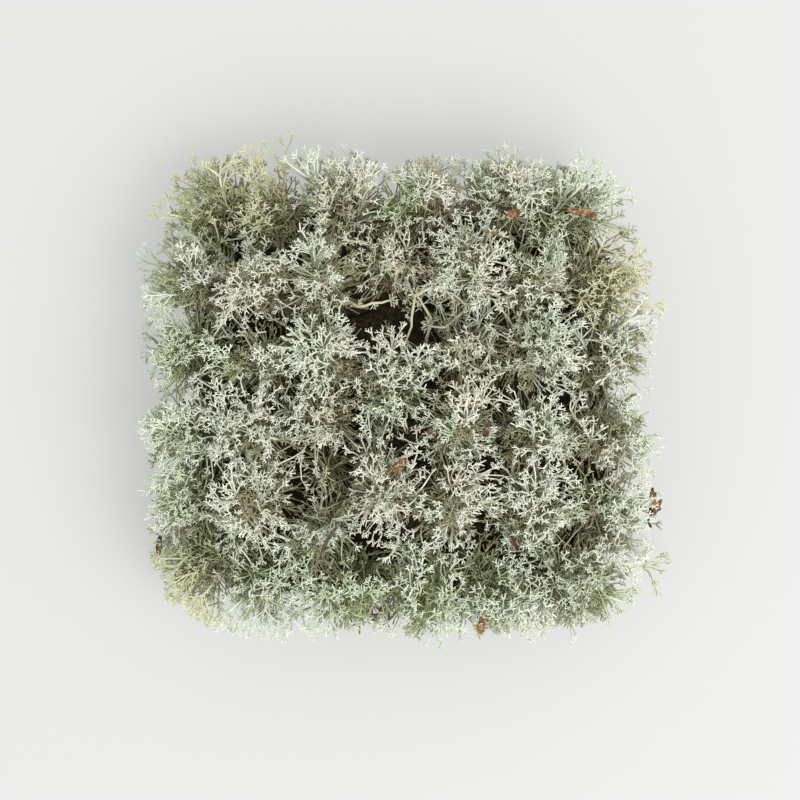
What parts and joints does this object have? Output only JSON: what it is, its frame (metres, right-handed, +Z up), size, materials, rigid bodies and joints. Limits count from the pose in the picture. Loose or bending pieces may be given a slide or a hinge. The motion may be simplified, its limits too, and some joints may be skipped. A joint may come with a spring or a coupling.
{
  "type": "reindeer lichen clump",
  "caption": "Squarish cushion of grey-green branching reindeer lichen on a mat of dead bases, with forest litter caught in its crowns.",
  "frame": {"origin": "on the ground under the middle of the clump's box", "axes": "+Z up, +X along the clump's slightly longer side, -Y towards the near edge"},
  "size_m": [0.158, 0.1486, 0.054],
  "materials": {
    "lichen": "matt grey-green lichen, pale grey-white at the branch tips, olive to brown-black towards the foot",
    "lichen_low": "matt lichen of the low and shaded tufts, a yellower, greener grey",
    "dead_base": "dead, decayed, brown-black lichen stems packed into a felt",
    "dry_leaf": "dry orange-brown needles, leaf scraps and a leaf stalk, faintly glossy",
    "bark": "matt dark brown bark flakes, bud scales and twig"
  },
  "bodies": {
    "root": {"dead_base_mat": "dead_base", "lichen_tuft_01": "lichen_low", "lichen_tuft_02": "lichen_low", "lichen_tuft_03": "lichen", "lichen_tuft_04": "lichen", "lichen_tuft_05": "lichen", "lichen_tuft_06": "lichen", "lichen_tuft_07": "lichen", "lichen_tuft_08": "lichen", "lichen_tuft_09": "lichen", "lichen_tuft_10": "lichen", "lichen_tuft_11": "lichen", "lichen_tuft_12": "lichen", "lichen_tuft_13": "lichen_low", "lichen_tuft_14": "lichen", "lichen_tuft_15": "lichen", "lichen_tuft_16": "lichen", "lichen_tuft_17": "lichen", "lichen_tuft_18": "lichen", "lichen_tuft_19": "lichen", "lichen_tuft_20": "lichen", "lichen_tuft_21": "lichen", "lichen_tuft_22": "lichen", "lichen_tuft_23": "lichen", "lichen_tuft_24": "lichen", "lichen_tuft_25": "lichen", "lichen_tuft_26": "lichen", "lichen_tuft_27": "lichen", "lichen_tuft_28": "lichen", "lichen_tuft_29": "lichen_low", "lichen_tuft_30": "lichen", "lichen_tuft_31": "lichen", "lichen_tuft_32": "lichen", "lichen_tuft_33": "lichen", "lichen_tuft_34": "lichen", "lichen_tuft_35": "lichen_low", "lichen_tuft_36": "lichen", "lichen_tuft_37": "lichen", "lichen_tuft_38": "lichen", "lichen_tuft_39": "lichen", "lichen_tuft_40": "lichen", "lichen_tuft_41": "lichen_low", "needle_1": "dry_leaf", "needle_2": "dry_leaf", "needle_3": "dry_leaf", "needle_4": "dry_leaf", "needle_5": "dry_leaf", "leaf_scrap_1": "dry_leaf", "leaf_scrap_2": "dry_leaf", "leaf_scrap_3": "dry_leaf", "leaf_scrap_4": "dry_leaf", "leaf_stalk": "dry_leaf", "bark_flake_1": "bark", "bark_flake_2": "bark", "bark_flake_3": "bark", "bark_flake_4": "bark", "bud_scale_1": "bark", "bud_scale_2": "bark", "twig": "bark"}
  },
  "joints": []
}
